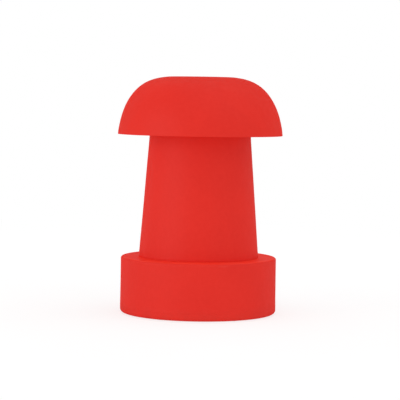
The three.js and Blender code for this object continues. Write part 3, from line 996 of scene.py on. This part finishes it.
def make_column():
    points = np.array(densify(rounded(column_profile()), 7.0, True))
    radius, height = points.T
    outside = (radius > 120) & (radius > column_radius(height) - 3.5)
    outside &= (height > COL_FOOT + 1) & (height < SHOULDER - 1)
    lower_ease = smooth(height, COL_FOOT + 1, COL_FOOT + 18)
    upper_ease = 1 - smooth(height, SHOULDER - 16, SHOULDER - 2)
    weight = outside * (lower_ease * upper_ease)
    waves = field(23, shortest=110, longest=320)
    column = moulding("column", points, True, weight, 0.45, waves)
    # bosses for the inserts, and a key on each side of the stub
    boss = [(0, COL_FOOT + 2), (14, COL_FOOT + 2), (14, COL_FOOT + 30, 3), (0, COL_FOOT + 30)]
    keys = (60, 68.5, 5, (SHOULDER - 2, SHOULDER + 66), 1.0)
    add(column, *lathes(BOLTS, boss, 40), *side_blocks(*keys))
    hole = [
        (0, COL_FOOT - 4),
        (8.9, COL_FOOT - 4),
        (8.9, COL_FOOT - 0.1),
        (8.3, COL_FOOT + 0.7),
        (8.3, COL_FOOT + 24),
        (0, COL_FOOT + 24),
    ]
    cut(column, *lathes(BOLTS, hole, 40))
    place(column, "column_tank", RED_COLUMN)


# ------------------------------------------------------------------ the head
WELL_FLOOR = TOP_Z - 27.7  # floor of the well round the filler

# the dome's outside from the rim to the crown: spline controls (radius, height)
DOME = spline(
    [
        (HEAD_R - 0.1, RIM_Z + 1.6),
        (HEAD_R - 1.4, RIM_Z + 19.5),
        (HEAD_R - 10.8, RIM_Z + 71.2),
        (HEAD_R - 57.5, RIM_Z + 135.8),
        (HEAD_R - 108.5, TOP_Z - 0.5),
        (75.5, TOP_Z),
    ],
    72,
)


def head_profile():
    return [
        # the underside and the rim
        (66.2, SHOULDER + GAP, 1.2),
        (133.5, SHOULDER + GAP, 1.2),
        (135.7, SOFFIT, 1.6),
        (HEAD_R - 8.4, SOFFIT, 2.4),
        (HEAD_R - 6.2, RIM_Z, 1.0),
        (HEAD_R, RIM_Z, 1.0),
        *DOME,
        # the well, and back down inside the socket for the stub
        (69.0, TOP_Z, 5.0),
        (64.2, WELL_FLOOR, 3.2),
        (42, WELL_FLOOR, 0.9),
        (42, WELL_FLOOR - WALL, 0.9),
        (60.5, WELL_FLOOR - WALL, 1.5),
        (63.4, WELL_FLOOR - WALL - 3.5, 1.5),
    ]


def head_hollow():
    """The space inside the head, less a block round each key slot, as a tool."""
    dome = np.array(DOME)
    along = np.gradient(dome, axis=0)
    along /= np.linalg.norm(along, axis=1)[:, None]
    inset = dome - np.stack([along[:, 1], -along[:, 0]], 1) * (WALL + 0.6)
    profile = [
        (71, SHOULDER + WALL + GAP, 2),
        (130.5, SHOULDER + WALL + GAP, 2),
        (136.5, SOFFIT + WALL, 2),
        (HEAD_R - 6.3, SOFFIT + WALL, 5),
        *[(r, z) for r, z in inset[::3] if z > SOFFIT + WALL + 6 and r > 80],
        (70.5, TOP_Z - 9, 3),
        (69.2, TOP_Z - 14),
    ]
    hollow = lathe("hollow", profile, 120, longest=14)
    cut(hollow, *side_blocks(66.5, 75, 11, (SHOULDER + 2, SHOULDER + 74), 1.5))
    return hollow


def make_head():
    points = np.array(densify(rounded(head_profile()), 7.0, True))
    radius, height = points.T
    outside = (radius > 72) & (height > SOFFIT + 1)
    weight = outside * (smooth(height, SOFFIT, RIM_Z + 30) * smooth(radius, 74, 100))
    waves = field(37, shortest=100, longest=300)
    head = moulding("head", points, True, weight, 0.6, waves)
    cut(head, head_hollow())
    key_slots = (62, 69.6, 5.6, (SHOULDER - 3, SHOULDER + 67), 0.8)
    vent_hole = [
        (0, SOFFIT - 3),
        (7.0, SOFFIT - 3),
        (7.0, SOFFIT - 0.1),
        (6, SOFFIT + 0.9),
        (6, SOFFIT + WALL + 3),
        (0, SOFFIT + WALL + 3),
    ]
    cut(head, *side_blocks(*key_slots), *lathes([(VENT_X, VENT_Y, 0)], vent_hole, 40))
    place(head, "head_shell", RED_HEAD)


# ------------------------------------------------------------------ the filler
FILLER_THREAD = {"pitch": 5, "wide": 3, "narrow": 1.2}
NECK_IN, NECK_OUT = 33, 39  # radii of the neck
PLUG_R = 30.4  # plug inside the neck
PLUG_RECESS = 572  # height of the recess's floor in the plug
RING_IN, RING_OUT = 41.6, 54  # radii of the clamp ring


def make_neck():
    bottom, top = reach("fill_neck")
    neck = lathe(
        "neck",
        [
            (NECK_IN, bottom, 0.8),
            (NECK_OUT, bottom, 0.8),
            (NECK_OUT, bottom + 4, 0.6),
            (50, bottom + 4, 0.6),
            (50, bottom + 8, 0.8),
            (NECK_OUT, bottom + 8, 0.4),
            (NECK_OUT, top, 0.8),
            (NECK_IN, top, 0.8),
        ],
        N_MID,
        longest=6,
    )
    add(
        neck,
        ridge(root=NECK_IN, crest=31, z=572, turns=2.25, **FILLER_THREAD),
        ridge(root=NECK_OUT, crest=40.7, z=574.4, turns=2, **FILLER_THREAD),
    )
    place(neck, "fill_neck", BLACK_FITTING)


def make_flat_ring(name, node, inner, outer, rounding, material, axis=2):
    """A gasket or washer: a plain ring, tipped on its side if it lies along Y."""
    bottom, top = reach(node, axis)
    corners = [(inner, bottom), (outer, bottom), (outer, top), (inner, top)]
    ring = lathe(name, [(*corner, rounding) for corner in corners], N_MID)
    if axis == 1:
        tip(ring)
    place(ring, node, material, 50)


def make_filler_plug():
    bottom = reach("fill_plug")[0]
    flange = reach("fill_gasket")[1] + GAP
    top = flange + 5
    plug = lathe(
        "filler_plug",
        [
            (0, bottom),
            (PLUG_R, bottom, 2.0),
            (PLUG_R, flange, 0.8),
            (38.8, flange, 0.7),
            (38.8, top, 1.3),
            (27.2, top, 1.4),
            (25.2, PLUG_RECESS, 2.2),
            (0, PLUG_RECESS),
        ],
        288,
        closed=False,
        longest=2.2,
        modulate=grips(24, depth=1.5, r_min=36.4, z_min=flange - 0.2, z_max=top + 0.2),
    )
    # a bar across the recess
    add(plug, box((-26.4, 26.4), (-4.2, 4.2), (PLUG_RECESS - 1.5, flange + 3.8), 1.6))
    add(plug, ridge(root=PLUG_R, crest=32.4, z=574.5, turns=1.5, **FILLER_THREAD))
    place(plug, "fill_plug", BLACK_FITTING)


def make_clamp_ring():
    bottom = reach("lock_ring")[0]
    top = bottom + 9.5
    groove = bottom + 9.1  # floor of the shallow groove in the top
    ring = lathe(
        "clamp_ring",
        [
            (RING_IN, bottom, 0.8),
            (RING_OUT, bottom, 0.8),
            (RING_OUT, top, 1.6),
            (50.8, top, 0.3),
            (50.2, groove, 0.3),
            (45.4, groove, 0.3),
            (44.8, top, 0.3),
            (RING_IN, top, 0.8),
        ],
        N_BIG,
        longest=3,
    )
    slots = []
    for i in range(8):
        slot = box((48.8, 60), (-4.6, 4.6), (bottom + 2.4, bottom + 14), 1.3, 4)
        spin(slot, 45 * i)
        slots.append(slot)
    cut(ring, *slots)
    add(ring, ridge(root=RING_IN, crest=39.8, z=576.9, turns=1.15, **FILLER_THREAD))
    place(ring, "lock_ring", BLACK_FITTING)


def make_filler():
    make_neck()
    make_flat_ring("filler_gasket", "fill_gasket", 33.7, 38.4, 0.7, SEAL_RUBBER)
    make_filler_plug()
    make_flat_ring("slip_washer", "ring_washer", 42, 54.5, 0.5, SLIP_PLASTIC)
    make_clamp_ring()


# ------------------------------------------------------------------ the drain
# These pieces are built about +Z with their heights as distances along Y, and then tipped.
DRAIN_THREAD = {"pitch": 4, "wide": 2.2, "narrow": 0.9}
BUSH_IN = 19
DRAIN_PLUG_R = 16.8


def make_drain_bush():
    back, face = reach("drain_bush", axis=1)
    bush = lathe(
        "drain_fitting",
        [
            (BUSH_IN, back, 0.6),
            (24, back, 0.6),
            (24, POCKET_Y + GAP, 0.4),
            (31, POCKET_Y + GAP, 0.5),
            (31, face, 1.3),
            (BUSH_IN, face, 0.9),
        ],
        N_MID,
        longest=3,
    )
    add(bush, ridge(root=BUSH_IN, crest=17.2, z=POCKET_Y - 10, turns=2.25, **DRAIN_THREAD))
    tip(bush)
    place(bush, "drain_bush", BLACK_DRAIN)


def wing(bottom):
    """The drain plug's grip, a plate with two rounded ears, as a tool."""
    top, ear = 10.9, 3.9
    right = [(17.9, 5.0)]
    for degrees in range(0, 91, 15):
        angle = math.radians(degrees)
        right.append((13.6 + ear * math.cos(angle), top - ear + ear * math.sin(angle)))
    waist = [(7.0, top - 0.7), (0.0, top - 1.3), (-7.0, top - 0.7)]
    left = [(-x, z) for x, z in right[::-1]]
    outline = [(-19.0, 0.0), (19.0, 0.0)] + right + waist + left
    verts = [(x, y, z + bottom) for y in (-4.0, 4.0) for x, z in outline]
    count = len(outline)
    faces = [list(range(count)), list(range(2 * count - 1, count - 1, -1))]
    faces += [[i, count + i, count + (i + 1) % count, (i + 1) % count] for i in range(count)]
    plate = solid("tool", verts, faces)
    bevel(plate, 1.5, 4, angle=50)
    return plate


def make_drain_plug():
    back = reach("drain_plug", axis=1)[0]
    flange = reach("drain_gasket", axis=1)[1] + GAP
    plug = lathe(
        "drain_wing_plug",
        [
            (0, back),
            (DRAIN_PLUG_R, back, 1.2),
            (DRAIN_PLUG_R, flange, 0.6),
            (28, flange, 0.6),
            (28, flange + 4, 1.5),
            (21, flange + 4, 0.5),
            (20.4, flange + 3.5, 0.4),
            (0, flange + 3.5),
        ],
        216,
        closed=False,
        longest=2.0,
        modulate=grips(18, depth=1.1, r_min=25.9, z_min=flange - 0.2, z_max=flange + 4.2),
    )
    add(plug, wing(flange + 2.6))
    add(plug, ridge(root=DRAIN_PLUG_R, crest=18.6, z=POCKET_Y - 8, turns=1.5, **DRAIN_THREAD))
    tip(plug)
    place(plug, "drain_plug", BLACK_DRAIN)


def make_drain():
    make_drain_bush()
    make_flat_ring("drain_seal", "drain_gasket", 19.6, 27.5, 0.7, SEAL_RUBBER, axis=1)
    make_drain_plug()


# ------------------------------------------------------------------ small parts
def make_pads():
    """Pads with a moulded tread of rings and a dimple."""
    top = BASE_Z + 3.5
    tread = [
        (0, 0.9),
        (3.2, 0.9, 0.4), (3.9, 0, 0.3),
        (7.0, 0, 0.3), (7.5, 0.8, 0.3), (8.6, 0.8, 0.3), (9.1, 0, 0.3),
        (11.6, 0, 0.3), (12.0, 0.7, 0.2), (12.7, 0.7, 0.2), (13.1, 0, 0.2),
    ]
    profile = tread + [(15, 0, 1.0), (15, top, 0.6), (0, top)]
    pad = lathe("pad_1", profile, N_SMALL, closed=False, longest=3)
    place_copies(pad, "pad", "foot_pad", PADS, PAD_RUBBER, 40)


def make_bolts():
    """Hexagon bolts, head down, with a threaded shank."""
    corner_r, head_height = 9.8, 6.4
    shank_r, root_r = 4.9, 4.35
    bottom, top = reach("column_bolt_1")
    corners = [math.radians(60 * i) for i in range(6)]
    bolt = solid(
        "hex",
        [
            (corner_r * math.sin(angle), corner_r * math.cos(angle), z)
            for z in (bottom, bottom + head_height)
            for angle in corners
        ],
        [list(range(6)), list(range(11, 5, -1))]
        + [[(i + 1) % 6, i, 6 + i, 6 + (i + 1) % 6] for i in range(6)],
    )
    # the cone chamfers the head's lower corners
    cone = [
        (0, bottom - 1), (6.57, bottom - 1), (10.4, bottom + 1.5), (10.4, bottom + 7),
        (0, bottom + 7),
    ]
    combine(bolt, [lathe("tool", cone, N_SMALL, closed=False)], "INTERSECT")
    shank = [
        (0, bottom + 4),
        (shank_r, bottom + 4),
        (shank_r, top - 28, 0.4),
        (root_r, top - 27, 0.3),
        (root_r, top - 1, 0.5),
        (3.7, top),
        (0, top),
    ]
    add(bolt, lathe("tool", shank, 48, closed=False, longest=6))
    thread = {"pitch": 1.5, "wide": 1.15, "narrow": 0.25, "steps": 32}
    add(bolt, ridge(root=root_r, crest=shank_r, z=top - 26, turns=15.5, **thread))
    bolt.name = "bolt_1"
    place_copies(bolt, "bolt", "column_bolt", BOLTS, ZINC, 30)


def make_washers():
    bottom, top = reach("bolt_washer_1")
    profile = [(5.4, bottom, 0.3), (14, bottom, 0.6), (14, top, 0.3), (5.4, top, 0.3)]
    washer = lathe("washer_1", profile, N_SMALL)
    place_copies(washer, "washer", "bolt_washer", BOLTS, ZINC, 40)


def make_inserts():
    """Knurled blind inserts with a groove round the middle."""
    bottom, top = reach("bolt_insert_1")
    bore, outer, groove = 5.2, 8, 7.2

    def knurl(radius, height, angle):
        where = smooth(radius, 7.75, 7.95) * (1 - smooth(height, top - 2.0, top - 1.6))
        wave = 0.5 + 0.5 * np.cos(angle * 24 + height * 0.9)
        return radius - 0.28 * where * wave**1.5, height

    profile = [
        (0, top - 2.4),
        (bore, top - 2.4),
        (bore, bottom, 0.4),
        (outer, bottom, 0.4),
        (outer, bottom + 8),
        (groove, bottom + 9.2),
        (groove, bottom + 12.8),
        (outer, bottom + 14),
        (outer, top, 0.5),
        (0, top),
    ]
    insert = lathe("insert_1", profile, 192, closed=False, longest=1.2, modulate=knurl)
    place_copies(insert, "insert", "bolt_insert", BOLTS, BRASS, 40)


def make_seal():
    """The ring seal in the spigot's groove."""
    bottom, top = reach("column_seal")
    profile = [
        (74.8, bottom, 0.5),
        (77.9, bottom, 0.9),
        (79.7, (bottom + top) / 2, 1.6),
        (77.9, top, 0.9),
        (74.8, top, 0.5),
    ]
    place(lathe("spigot_seal", profile, N_BIG), "column_seal", SEAL_RUBBER, 50)


def make_vent():
    """A domed push-in button under the head, with a dimple and a barbed stem."""
    bottom, top = reach("vent_plug")
    profile = [
        (0, bottom + 0.5),
        (3.0, bottom + 0.4, 0.6),
        (4.4, bottom, 1.2),
        (7.6, bottom + 0.25, 1.2),
        (9.2, SOFFIT - 0.9, 0.4),
        (9.2, SOFFIT - GAP, 0.2),
        (5.5, SOFFIT - GAP, 0.2),
        (5.5, SOFFIT + WALL + 0.5, 0.2),
        (6.5, SOFFIT + WALL + 0.7, 0.3),
        (4.6, top, 0.6),
        (0, top),
    ]
    vent = lathe("vent_button", profile, N_SMALL, closed=False, at=(VENT_X, VENT_Y, 0))
    place(vent, "vent_plug", BLACK_DRAIN, 40)


make_base()
make_column()
make_head()
make_filler()
make_drain()
make_pads()
make_bolts()
make_washers()
make_inserts()
make_seal()
make_vent()

# ------------------------------------------------------------------ stage, light, camera
SIDE_LIGHT = 0.74  # level of the soft light from the sides
OVERHEAD = 0.78  # and from overhead
FLOOR_FILL = 0.41  # the floor's own glow
CAMERA_GLOW = 0.10  # what the camera sees on top of it
CAMERA_WHITE = 0.45  # least share of plain white in the floor that the camera sees
WHITE = (1, 1, 1)


def floor_material():
    """Pale near the object and white far off."""
    m = Mat("pale_floor")
    speck = m.noise(m.moved(), scale=3.0, detail=4)
    specked = m.span(speck, between=(0.3, 0.7))
    colour = m.mix(specked, (0.545, 0.545, 0.545), (0.555, 0.555, 0.555))
    m.set(Base_Color=colour, Roughness=0.9, Specular_IOR_Level=0.0)
    camera_ray = m.value("LightPath", out="Is Camera Ray")
    x, y, _ = m.parts(m.where)
    away = m.math("SQRT", m.plus(m.times(x, x), m.times(y, y)))
    far = m.span(away, between=(1.2, 3.0))
    # the camera sees the red bounce and the contact shadow at about half strength
    far = m.math("MAXIMUM", far, m.times(camera_ray, CAMERA_WHITE))
    # a pale glow lifts the floor to white; less of it reaches the object than the camera
    level = m.plus(m.times(camera_ray, CAMERA_GLOW), FLOOR_FILL)
    glow = m.value("Emission", {0: WHITE, 1: level})
    lifted = m.value("AddShader", {0: m.shader.outputs[0], 1: glow})
    white = m.value("Emission", {0: WHITE})
    blend = m.value("MixShader", {0: far, 1: lifted, 2: white})
    # from underneath the floor isn't there, so that the underside can be looked at
    clear = m.value("BsdfTransparent")
    underneath = m.value("NewGeometry", out="Backfacing")
    m.feed(m.out.inputs[0], m.value("MixShader", {0: underneath, 1: blend, 2: clear}))
    return m.material


def make_floor():
    half, z = 9, -0.0002
    mesh = bpy.data.meshes.new("floor")
    corners = [(-half, -half, z), (half, -half, z), (half, half, z), (-half, half, z)]
    mesh.from_pydata(corners, [], [(0, 1, 2, 3)])
    floor = linked("floor", mesh)
    mesh.materials.append(floor_material())


def make_world():
    """Plain white to the camera; a soft light that changes from the sides to overhead."""
    world = bpy.data.worlds.new("studio")
    scene.world = world
    world.use_nodes = True
    graph = Graph(world.node_tree)
    out = graph.node("OutputWorld")
    seen = graph.value("Background", {0: WHITE, 1: 1.0})
    up = graph.parts(graph.value("TexCoord", out="Generated"))[2]
    level = graph.span(up, between=(0.25, 0.95), to=(SIDE_LIGHT, OVERHEAD))
    level.node.name = "sky"
    lit = graph.value("Background", {0: WHITE, 1: level})
    camera_ray = graph.value("LightPath", out="Is Camera Ray")
    graph.feed(out.inputs[0], graph.value("MixShader", {0: camera_ray, 1: lit, 2: seen}))


def sun(name, energy, spread, azimuth, elevation):
    """A broad soft light from azimuth (0 is the front, positive to the left) and elevation, in
    degrees."""
    light = linked(name, bpy.data.lights.new(name, "SUN"))
    light.data.energy = energy
    light.data.angle = math.radians(spread)
    turn, rise = math.radians(azimuth), math.radians(elevation)
    source = Vector(
        (-math.sin(turn) * math.cos(rise), -math.cos(turn) * math.cos(rise), math.sin(rise))
    )
    light.rotation_euler = (-source).to_track_quat("-Z", "Y").to_euler()


def make_camera():
    """A long lens in front of the object, pitched slightly down."""
    distance, height, shift = 4.323, 0.5554, 0.0018
    pitch_down, roll = 3.549, 0.874  # degrees
    camera = linked("camera", bpy.data.cameras.new("camera"))
    camera.data.sensor_width = 36.0
    camera.data.lens = 153.15
    middle = (cad_low + cad_high) / 2
    camera.location = (middle.x + shift, middle.y - distance, cad_low.z + height)
    camera.rotation_mode = "XYZ"
    pitch = Quaternion((1, 0, 0), math.radians(90 - pitch_down))
    camera.rotation_euler = (pitch @ Quaternion((0, 0, 1), math.radians(roll))).to_euler()
    camera.data.clip_start, camera.data.clip_end = 0.05, 60
    scene.camera = camera


scene.view_settings.view_transform = "Standard"
scene.view_settings.look = "None"
scene.view_settings.exposure = 0.0
scene.view_settings.gamma = 1.0
make_floor()
make_world()
sun("key", energy=0.80, spread=60, azimuth=60, elevation=3)
sun("top", energy=0.42, spread=80, azimuth=-60, elevation=62)
make_camera()
